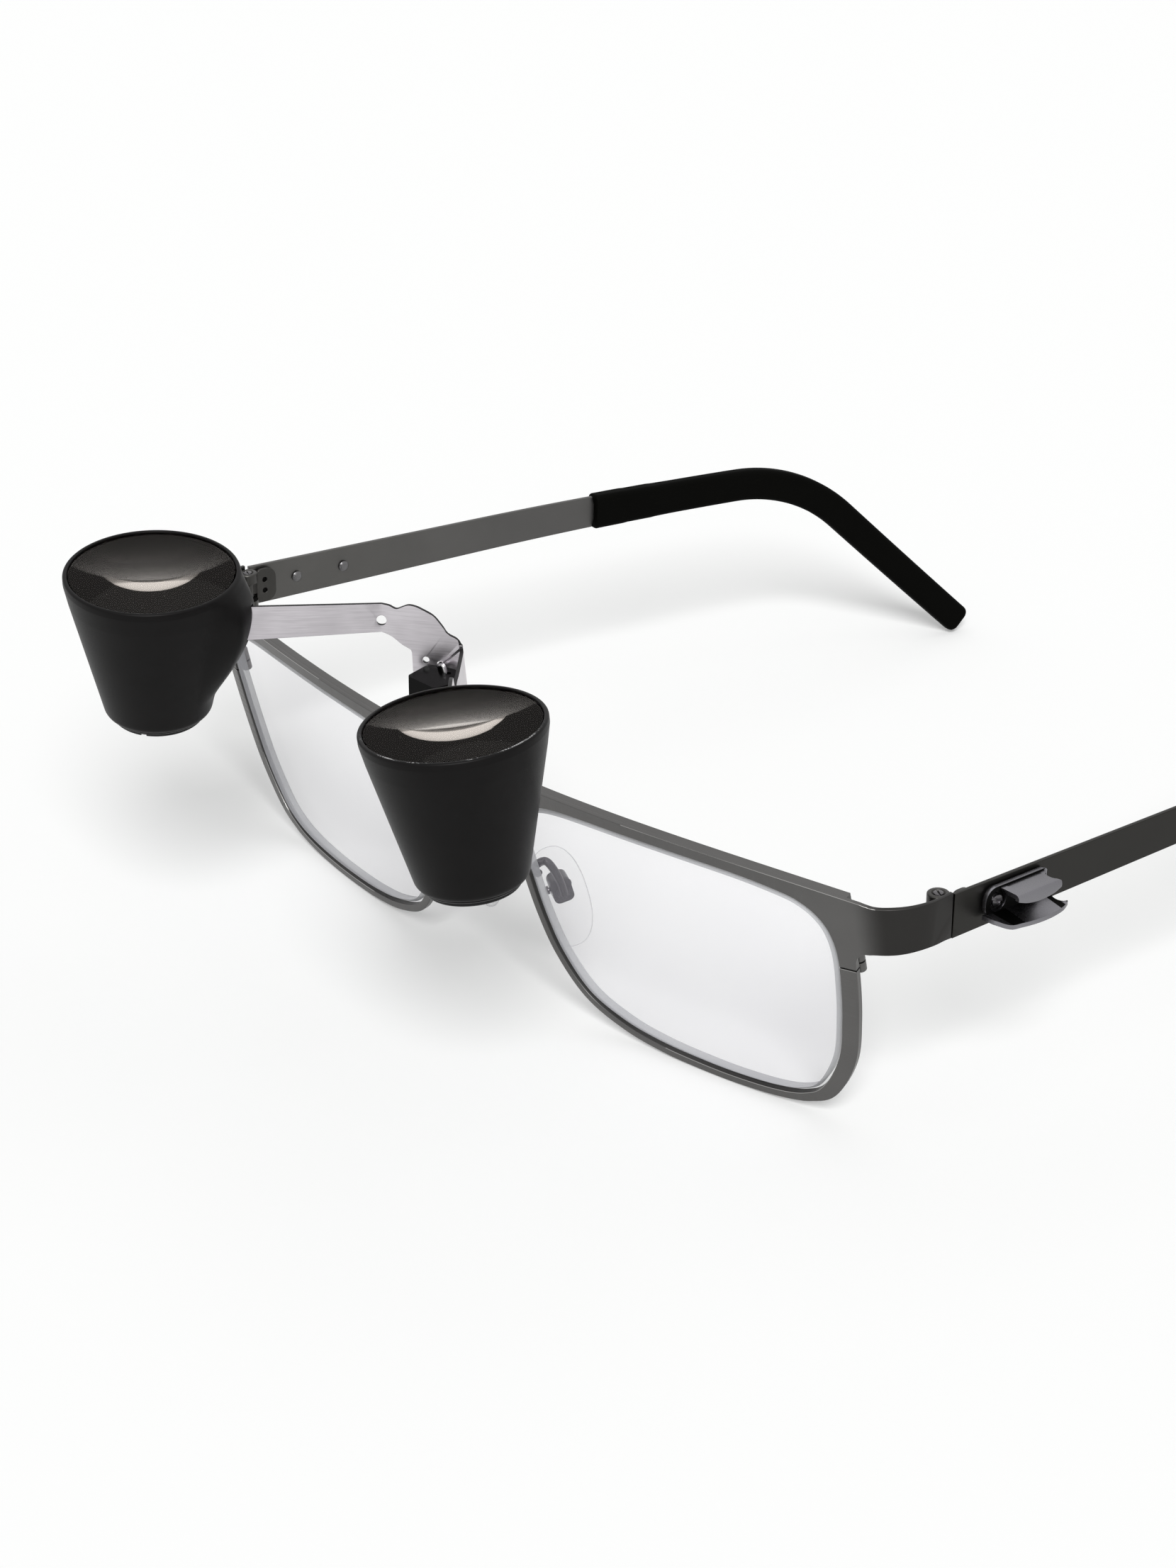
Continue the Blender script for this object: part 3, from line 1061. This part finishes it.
def plate_point(side, along):
    angle = NEAR_TURN if side > 0 else FAR_TURN
    return FOLD + Vector((side * along * math.cos(angle), -along * math.sin(angle)))


def arm_end(side):
    """Where the arm ends inside the loupe's boss, and the level of its top."""
    top = ARM_END_TOP - side * STAGGER
    drop = LOUPE_SPOT.z - side * STAGGER - top + ARM_HEIGHT / 2
    radius = TOP_RADIUS - (TOP_RADIUS - LOW_RADIUS) * drop / HOUSING_LENGTH + RIM_RADIUS * BOSS_WIDEST - 0.0018
    x = LOUPE_SPOT.x + drop * math.tan(CONVERGENCE) - radius * math.cos(BOSS_TURN)
    return Vector((side * x, LOUPE_SPOT.y + drop * math.tan(LEAN) + radius * math.sin(BOSS_TURN))), top


far_end, far_top = arm_end(-1)
near_end, near_top = arm_end(1)
far_bend, near_bend = plate_point(-1, FAR_BEND), plate_point(1, NEAR_BEND)
centre_line = rounded([
    (*far_end, 0), (*far_bend, 0.0014), (*FOLD, 0.0005), (*near_bend, 0.0014), (*near_end, 0),
], 10)
lengths = [0.0]
for a, b in zip(centre_line, centre_line[1:]):
    lengths.append(lengths[-1] + (b - a).length)
middle = min(range(len(centre_line)), key=lambda i: (centre_line[i] - FOLD).length)
lengths = [value - lengths[middle] for value in lengths]


def lean_out(u, z):
    """The near plate stands a little off the block at its foot, out of square by 6.5 degrees."""
    return NEAR_LEAN * (PLATE_TOP - z) * min(1, max(0, u / 0.0010)) * min(1, max(0, (0.0125 - u) / 0.004))


def along_bracket(u, depth, z):
    """Where a point of the flat strip goes once it is bent."""
    i = max(0, min(len(lengths) - 2, sum(1 for value in lengths if value <= u) - 1))
    a, b = centre_line[i], centre_line[i + 1]
    run = (b - a).normalized()
    spot = a + run * (u - lengths[i]) + Vector((-run.y, run.x)) * (BRACKET_SHEET / 2 - depth + lean_out(u, z))
    return Vector((*spot, z))


FAR_TOP = (
    (0, -0.15), (0.05, 0.02), (0.16, 0.16), (0.23, 0.40), (0.335, 0.70), (0.47, 0.88),
    (0.56, 0.97), (0.65, 1.0), (0.73, 0.93), (0.81, 0.85), (0.90, 0.94), (1.0, 0.98),
)
far_length, near_length = -lengths[0], lengths[-1]
near_low = near_top - ARM_HEIGHT
rise = EAR_TOP - PLATE_TOP
neck = 0.0516
climb = PLATE_TOP + rise * 0.98 - ARM_HEIGHT - neck
strip = [Vector((-far_length, far_top))]
strip += smooth_path([Vector((-FAR_BEND * a, PLATE_TOP + rise * v)) for a, v in FAR_TOP], 5)[::-1]
strip += smooth_path([
    (0.0004, 0.05262), (0.0012, 0.0520), (0.0095, 0.0520), (0.0127, 0.0520), (0.0149, 0.0537),
    (0.0166, 0.0551), (0.0190, near_top), (near_length, near_top),
], 5)
strip += [Vector((near_length, near_low))]
strip += smooth_path([
    (0.0192, near_low), (0.0172, near_low - 0.0012), (0.0143, 0.0476), (0.0112, 0.0472), (0.0068, 0.0472),
], 5)
strip += [Vector((0.0060, 0.0464)), Vector((0.0058, BRACKET_LOW)), Vector((-0.0062, BRACKET_LOW))]
strip += smooth_path([
    (-0.00645, neck - 0.6 * climb), (-0.0067, neck - 0.2 * climb), (-0.0078, neck + 0.35 * climb),
    (-0.0092, neck + 1.3 * climb), (-FAR_BEND, neck + 1.75 * climb),
], 5)
strip += [Vector((-far_length, far_top - ARM_HEIGHT))]
bracket_holes = [
    round_hole(-FAR_BEND, EAR_TOP - ARM_HEIGHT / 2, 0.0007), round_hole(-0.0046, 0.05005, 0.00045),
    round_hole(-SPRING_HOLE[0], SPRING_HOLE[1], 0.0004, 20),
    round_hole(-BRACKET_SCREW[0], BRACKET_SCREW[1], 0.0006), round_hole(*BRACKET_SCREW, 0.0006),
]


def brushed(name, code, edge_code, roughness):
    """Cold-rolled stainless sheet: fine scratches along the strip, a satin mirror between them."""
    made, tree, shader, spot = blank(name)
    drawn_out = node(tree, "ShaderNodeMapping", {
        "Vector": spot, "Scale": (1 / 0.0040, 1 / 0.0040, 1 / 0.00016),
    })
    lines = node(tree, "ShaderNodeTexNoise", {"Vector": drawn_out.outputs[0], "Scale": 1.0, "Detail": 2.0})
    cloud = node(tree, "ShaderNodeTexNoise", {"Vector": spot, "Scale": 1 / 0.006, "Detail": 2.0})
    both = node(tree, "ShaderNodeMath", {0: lines.outputs[0], 1: cloud.outputs[0]}, operation="MULTIPLY")
    tone = node(tree, "ShaderNodeMapRange", {"Value": both.outputs[0], "From Min": 0.12, "From Max": 0.4})
    mix = node(tree, "ShaderNodeMix", {
        0: tone.outputs[0], 6: linear(edge_code), 7: linear(code),
    }, data_type="RGBA")
    tree.links.new(mix.outputs[2], shader.inputs["Base Color"])
    gloss = node(tree, "ShaderNodeMapRange", {
        "Value": lines.outputs[0], "To Min": roughness - 0.06, "To Max": roughness + 0.08,
    })
    tree.links.new(gloss.outputs[0], shader.inputs["Roughness"])
    bump = node(tree, "ShaderNodeBump", {"Height": lines.outputs[0], "Strength": 0.08, "Distance": 0.00004})
    tree.links.new(bump.outputs[0], shader.inputs["Normal"])
    shader.inputs["Metallic"].default_value = 1.0
    return made


# The faces are bright brushed stainless with level scratches; the sheared edges are dark and dull.
stainless = brushed("brushed_stainless_sheet", "#c9c5c9", "#b3afb3", 0.30)
sheared = plated("sheared_steel_edge", "#2b2a2b", "#2b2a2b", 0.50, 0.0, 1.0)
bracket = plate(strip, bracket_holes, BRACKET_SHEET, 0.00006, along_bracket, step=0.00035)
bracket = solid("bracket_strip", bracket, stainless, sheared)
for face in bracket.data.polygons:
    face.material_index = 1 if face.area > 0 and abs(face.normal.z) > 0.45 else 0
part(bracket, "loupes", "steel", "bracket")


def off_plate(side, along, z, out):
    """A point off the back of one plate of the V, and the direction it stands off."""
    run = (plate_point(side, 0.01) - plate_point(side, 0)).normalized()
    away = Vector((-run.y, run.x, 0)) * side
    return Vector((*plate_point(side, along), z)) + away * out, away


for side in (1, -1):
    spot, away = off_plate(side, *BRACKET_SCREW, 0.0003 + lean_out(side * BRACKET_SCREW[0], BRACKET_SCREW[1]))
    screw_at("loupes", Matrix.Identity(4), spot, away, 0.0010, 0.0004, 0.0005, 0.0018)
# The spring is bright drawn wire, the one polished line on the bracket.
spring_steel = plated("bright_spring_wire", "#c4c2c4", "#c4c2c4", 0.18, 0.0, 1.0)
wire = [
    off_plate(-1, *SPRING_HOLE, 0.0005)[0], off_plate(-1, *SPRING_HOLE, -0.00075)[0],
    Vector((-0.0009, -0.0046, 0.05005)), Vector((-0.00045, -0.0046, 0.04987)),
    Vector((0.0004, -0.0046, 0.0474)),
]
spring = drawn("return_spring", smooth_path(wire, 8), 0.0003, spring_steel, wires)
part(spring, "loupes", "steel", "spring_wire")


# ---- Loupes: two tapered black barrels, moulded in glass-filled nylon with a rib for the arm. Each
# holds a domed objective under its lip and an eyepiece lens behind a screwed ring at the foot.
def loupe_place(side):
    z_axis = Vector((-side * math.sin(CONVERGENCE), -math.sin(LEAN), 0))
    z_axis.z = math.sqrt(1 - z_axis.length_squared)
    toward = Vector((-side * math.cos(BOSS_TURN), math.sin(BOSS_TURN), 0))
    return face_to((side * LOUPE_SPOT.x, LOUPE_SPOT.y, LOUPE_SPOT.z - side * STAGGER), z_axis, toward)


def housing_finish():
    """Satin black moulding: fine skin, faint scuffs, and bare bright specks along the rubbed lip."""
    made = polished_black("satin_black_moulding", "#0a0909", 0.42, specular=0.105, grain=0.00016)
    tree = made.node_tree
    shader = tree.nodes["Principled BSDF"]
    under = shader.inputs["Base Color"].links[0].from_socket
    spot = node(tree, "ShaderNodeTexCoord").outputs["Object"]
    specks = node(tree, "ShaderNodeTexNoise", {"Vector": spot, "Scale": 1 / 0.00022, "Detail": 2.0})
    patches = node(tree, "ShaderNodeTexNoise", {"Vector": spot, "Scale": 1 / 0.0035, "Detail": 1.0})
    worn = node(tree, "ShaderNodeAttribute", attribute_name="worn").outputs["Fac"]
    sum_up = node(tree, "ShaderNodeMath", {0: specks.outputs[0], 1: patches.outputs[0]}, operation="ADD")
    hit = node(tree, "ShaderNodeMapRange", {"Value": sum_up.outputs[0], "From Min": 1.10, "From Max": 1.24})
    gate = node(tree, "ShaderNodeMath", {0: hit.outputs[0], 1: worn}, operation="MULTIPLY")
    bare = node(tree, "ShaderNodeMix", {0: gate.outputs[0], 6: under, 7: linear("#a9a9a9")}, data_type="RGBA")
    tree.links.new(bare.outputs[2], shader.inputs["Base Color"])
    return made


GLASS_IOR = 1.52


def coated_glass(name, code):
    """Anti-reflection coated glass: light bends through it, and only about 2 % is thrown back, more
    where a speck of dust lies."""
    made = bpy.data.materials.new(name)
    made.use_nodes = True
    tree = made.node_tree
    tree.nodes.clear()
    spot = node(tree, "ShaderNodeTexCoord").outputs["Object"]
    dust = node(tree, "ShaderNodeTexNoise", {"Vector": spot, "Scale": 1 / 0.00035, "Detail": 2.0})
    share = node(tree, "ShaderNodeMapRange", {
        "Value": dust.outputs[0], "From Min": 0.74, "From Max": 0.80, "To Min": 0.020, "To Max": 0.20,
    })
    clear = {"Color": linear(code), "Roughness": 0.0, "IOR": GLASS_IOR}
    through = node(tree, "ShaderNodeBsdfRefraction", clear)
    back = node(tree, "ShaderNodeBsdfAnisotropic", {"Color": linear("#f4efe9"), "Roughness": 0.06})
    outside = node(tree, "ShaderNodeMixShader", {
        0: share.outputs[0], 1: through.outputs[0], 2: back.outputs[0],
    })
    inside_face = node(tree, "ShaderNodeBsdfGlass", clear)
    leaving = node(tree, "ShaderNodeNewGeometry").outputs["Backfacing"]
    both = node(tree, "ShaderNodeMixShader", {0: leaving, 1: outside.outputs[0], 2: inside_face.outputs[0]})
    node(tree, "ShaderNodeOutputMaterial", {0: both.outputs[0]})
    return made


def optical(name, code):
    """Polished glass: clear, with a few dull specks of dust."""
    made, tree, shader, spot = blank(name)
    dust = node(tree, "ShaderNodeTexNoise", {"Vector": spot, "Scale": 1 / 0.00035, "Detail": 2.0})
    film = node(tree, "ShaderNodeMapRange", {
        "Value": dust.outputs[0], "From Min": 0.76, "From Max": 0.82, "To Min": 0.0, "To Max": 0.2,
    })
    tree.links.new(film.outputs[0], shader.inputs["Roughness"])
    shader.inputs["Base Color"].default_value = linear(code)
    shader.inputs["Transmission Weight"].default_value = 1.0
    shader.inputs["IOR"].default_value = GLASS_IOR
    shader.inputs["Specular Tint"].default_value = (0, 0, 0, 1)
    return made


# The barrels are satin black outside and dull black within, and the ring at the foot is a little
# glossier. The objectives are near-colourless coated glass, so the eye looks into dark barrels.
housing_black = housing_finish()
glass = coated_glass("coated_objective_glass", "#f4f1ee")
glass_back = optical("objective_back_face", "#f6f4f2")
eye_glass = optical("eyepiece_glass", "#f2f2f2")
inner_black = polished_black("dull_barrel_inside", "#070606", 0.80, specular=0.0, grain=0.00005)
ring_black = polished_black("black_retaining_ring", "#0a0a0a", 0.32, specular=0.2)
boss_curve = smooth_path(BOSS_SHARES, 6)


def boss_reach(down):
    for a, b in zip(boss_curve, boss_curve[1:]):
        if a.x <= down < b.x:
            return max(0.0, a.y + (b.y - a.y) * (down - a.x) / (b.x - a.x)) * RIM_RADIUS
    return 0.0


SEAT, WALL_TURN, BOTTOM = 0.0013, 168, -HOUSING_LENGTH
LIP_RADIUS, DOME_RADIUS, BORE_RADIUS = 0.0109, 0.01078, 0.0101
EYE_SEAT, EYE_HOLE, FOOT_RADIUS = 0.0049, 0.0041, 0.00615
outer_corners = [
    (LIP_RADIUS, 0.0, 0.00015), (RIM_RADIUS, 0.0, 0.00045), (RIM_RADIUS, -0.0010, 0.0010),
    (TOP_RADIUS, -0.0035, 0.0020), (LOW_RADIUS + 0.0001, BOTTOM + 0.0008, 0.0014),
    (LOW_RADIUS - 0.0007, BOTTOM, 0.0007), (FOOT_RADIUS, BOTTOM, 0.0001),
]
inner_corners = [
    (FOOT_RADIUS, BOTTOM + 0.0013, 0), (EYE_SEAT, BOTTOM + 0.0013, 0), (EYE_SEAT, BOTTOM + 0.0036, 0),
    (EYE_HOLE, BOTTOM + 0.0036, 0.0001), (EYE_HOLE, BOTTOM + 0.0044, 0.0001),
    (BORE_RADIUS, -SEAT - 0.0008, 0.0001), (BORE_RADIUS, -SEAT, 0.0001), (LIP_RADIUS, -SEAT, 0),
]
profile = spaced(rounded(outer_corners + inner_corners, 5), 0.0004)
for side, tag in ((1, "left"), (-1, "right")):
    place = loupe_place(side)
    bm = bmesh.new()
    worn = bm.verts.layers.float.new("worn")
    rings = []
    for p in profile:
        ring = []
        outer = p.x > TOP_RADIUS + (TOP_RADIUS - LOW_RADIUS) * p.y / HOUSING_LENGTH - 0.0004
        for i in range(WALL_TURN):
            a = 2 * math.pi * i / WALL_TURN
            off_axis = abs((a + math.pi) % (2 * math.pi) - math.pi)
            near = max(0.0, min(1.0, (math.radians(31) - off_axis) / math.radians(23)))
            out = boss_reach(-p.y / HOUSING_LENGTH) * near * near * (3 - 2 * near) if outer else 0.0
            ray = Vector((math.cos(a), math.sin(a), 0))
            vert = bm.verts.new(((p.x + out) * math.cos(a), (p.x + out) * math.sin(a), p.y))
            facing = max(0.0, (place.to_3x3() @ ray).dot(Vector((0.70, -0.70, 0))))
            rubbed = side > 0 and p.y > -0.00025 and DOME_RADIUS < p.x < 0.01125
            vert[worn] = min(1.0, 1.6 * facing) if rubbed else 0.0
            ring.append(vert)
        rings.append(ring)
    skinned(bm, rings + rings[:1])
    bm.transform(place)
    housing = solid("loupe_barrel_" + tag, bm, housing_black, inner_black, sharp=50)
    for face in housing.data.polygons:
        local = place.inverted() @ face.center
        wall = TOP_RADIUS + (TOP_RADIUS - LOW_RADIUS) * local.z / HOUSING_LENGTH
        within = Vector(local[:2]).length < min(wall - 0.0003, 0.01085)
        face.material_index = 1 if within and local.z > BOTTOM + 0.0002 else 0
    end, top = arm_end(side)
    along = Vector((*(end - (near_bend if side > 0 else far_bend)).normalized(), 0))
    slot = face_to((end.x, end.y, top - ARM_HEIGHT / 2), (0, 0, 1), along.cross(Vector((0, 0, 1))))
    carved(housing, block((-0.0004, -0.02, -0.0026), (0.0004, 0.0003, 0.0026), slot))
    part(shaded(housing, sharp=45), "loupes", "black_housing", "loupe_housing_" + tag)
    dome = [(DOME_RADIUS * k / 18, -0.0002 + 0.00165 * (1 - (k / 18) ** 2), 0) for k in range(19)]
    belly = [(DOME_RADIUS * k / 10, -0.0010 - 0.0006 * (1 - (k / 10) ** 2), 0) for k in range(10, -1, -1)]
    objective = turned(dome + belly, place, steps=96)
    objective = solid("loupe_objective_" + tag, objective, glass, glass_back, sharp=40)
    for face in objective.data.polygons:
        face.material_index = 1 if (place.inverted() @ face.center).z < -0.00095 else 0
    part(objective, "loupes", "magnifier_lens", "objective_" + tag)
    eye = turned([
        (0, BOTTOM + 0.0012, 0), (0.0046, BOTTOM + 0.0014, 0.0001), (0.0046, BOTTOM + 0.0033, 0.0001),
        (0, BOTTOM + 0.0033, 0),
    ], place)
    part(solid("loupe_eyepiece_" + tag, eye, eye_glass), "loupes", "magnifier_lens", "eyepiece_lens_" + tag)
    ring = solid("eyepiece_collar_" + tag, turned([
        (0.0060, BOTTOM + 0.0010, 0.0001), (0.0038, BOTTOM + 0.0010, 0.0001), (0.0042, BOTTOM - 0.0006, 0.0001),
        (0.0060, BOTTOM - 0.0006, 0.00025),
    ], place, steps=96), ring_black)
    for turn in (0, math.pi):
        notch = place @ Matrix.Rotation(turn, 4, "Z")
        carved(ring, block((-0.0004, 0.0046, BOTTOM - 0.002), (0.0004, 0.012, BOTTOM - 0.0003), notch))
    part(shaded(ring, bevel=0.00006), "loupes", "black_plastic", "eyepiece_ring_" + tag)
    spot = (*(end - Vector(along[:2]) * 0.0009), LOUPE_SPOT.z - side * STAGGER - HOUSING_LENGTH * 0.12 - 0.0004)
    screw_at("loupes", Matrix.Identity(4), spot, (0, 0, 1), 0.0005, 0.0004, 0.0004, 0.0012)


# ---- Screws: small slotted steel screws, turned and polished, one tree for all of them. Each grows
# from a point that carries its direction, head and shank; one mesh goes to each body.
def screw_tree():
    tree = geometry_tree("slotted_screws", "Screws", Spots="Geometry", Slot_Width="Float", Slot_Depth="Float",
                         Crown="Float", Sides="Int", Finish="Material")
    given = node(tree, "NodeGroupInput").outputs
    head = node(tree, "GeometryNodeMeshCone", {
        "Vertices": given["Sides"], "Radius Top": given["Crown"], "Radius Bottom": 1.0, "Depth": 1.0,
    })
    cutter_size = node(tree, "ShaderNodeCombineXYZ", {
        "X": given["Slot Width"], "Y": 3.0, "Z": given["Slot Depth"],
    })
    slot = node(tree, "GeometryNodeMeshCube", {"Size": cutter_size.outputs[0]})
    raised = node(tree, "GeometryNodeTransform", {"Geometry": slot.outputs[0], "Translation": (0, 0, 1)})
    slotted = node(tree, "GeometryNodeMeshBoolean", {
        "Mesh 1": head.outputs[0], "Mesh 2": raised.outputs[0],
    }, operation="DIFFERENCE")
    shank = node(tree, "GeometryNodeMeshCylinder", {"Vertices": given["Sides"], "Radius": 1.0, "Depth": 1.0})
    sunk = node(tree, "GeometryNodeTransform", {"Geometry": shank.outputs[0], "Translation": (0, 0, -0.5)})
    turn = node(tree, "GeometryNodeInputNamedAttribute", {"Name": "turn"}, data_type="FLOAT_VECTOR")
    angle = node(tree, "FunctionNodeEulerToRotation", {0: turn.outputs["Attribute"]})
    grown_parts = []
    for shape, sizes in ((slotted, "head"), (sunk, "shank")):
        size = node(tree, "GeometryNodeInputNamedAttribute", {"Name": sizes}, data_type="FLOAT_VECTOR")
        grown_parts.append(node(tree, "GeometryNodeInstanceOnPoints", {
            "Points": given["Spots"], "Instance": shape.outputs[0], "Rotation": angle.outputs[0],
            "Scale": size.outputs["Attribute"],
        }).outputs[0])
    joined = node(tree, "GeometryNodeJoinGeometry", {0: grown_parts[0]})
    tree.links.new(grown_parts[1], joined.inputs[0])
    real = node(tree, "GeometryNodeRealizeInstances", {0: joined.outputs[0]})
    done = node(tree, "GeometryNodeSetMaterial", {"Geometry": real.outputs[0], "Material": given["Finish"]})
    node(tree, "NodeGroupOutput", {0: done.outputs[0]})
    return tree


# All screws are polished steel, dark between bright highlights, as small screw heads look.
screw_steel = plated("polished_screw_steel", "#5e5c5e", "#5e5c5e", 0.24, 0.0, 1.0)
screws = screw_tree()
pairs = {kind: [kind + "_screw_left", kind + "_screw_right"]
         for kind in ("closing", "hinge", "mount", "pad", "bracket", "arm")}
SCREW_NODES = {
    "front": [*pairs["closing"], *pairs["hinge"], *pairs["mount"], *pairs["pad"], "pivot_pin"],
    "loupes": [*pairs["bracket"], *pairs["arm"]],
    "temple_left": ["clip_screw_left_front", "clip_screw_left_rear"],
}
for body, spots in screw_spots.items():
    start = bpy.data.meshes.new("screws_" + body)
    start.from_pydata([tuple(spot[0]) for spot in spots], [], [])
    for name, values in (
        ("turn", [face_to((0, 0, 0), spot[1], (0.3, 0.5, 0.81)).to_euler() for spot in spots]),
        ("head", [(spot[2], spot[2], spot[3]) for spot in spots]),
        ("shank", [(spot[4], spot[4], spot[5]) for spot in spots]),
    ):
        layer = start.attributes.new(name, "FLOAT_VECTOR", "POINT")
        for i, value in enumerate(values):
            layer.data[i].vector = value
    made = grown("screws_" + body, start, screws, {
        "Slot Width": 0.34, "Slot Depth": 0.9, "Crown": 0.86, "Sides": 40, "Finish": screw_steel,
    })
    part(shaded(made, bevel=0.00004), body, "steel", *SCREW_NODES[body])
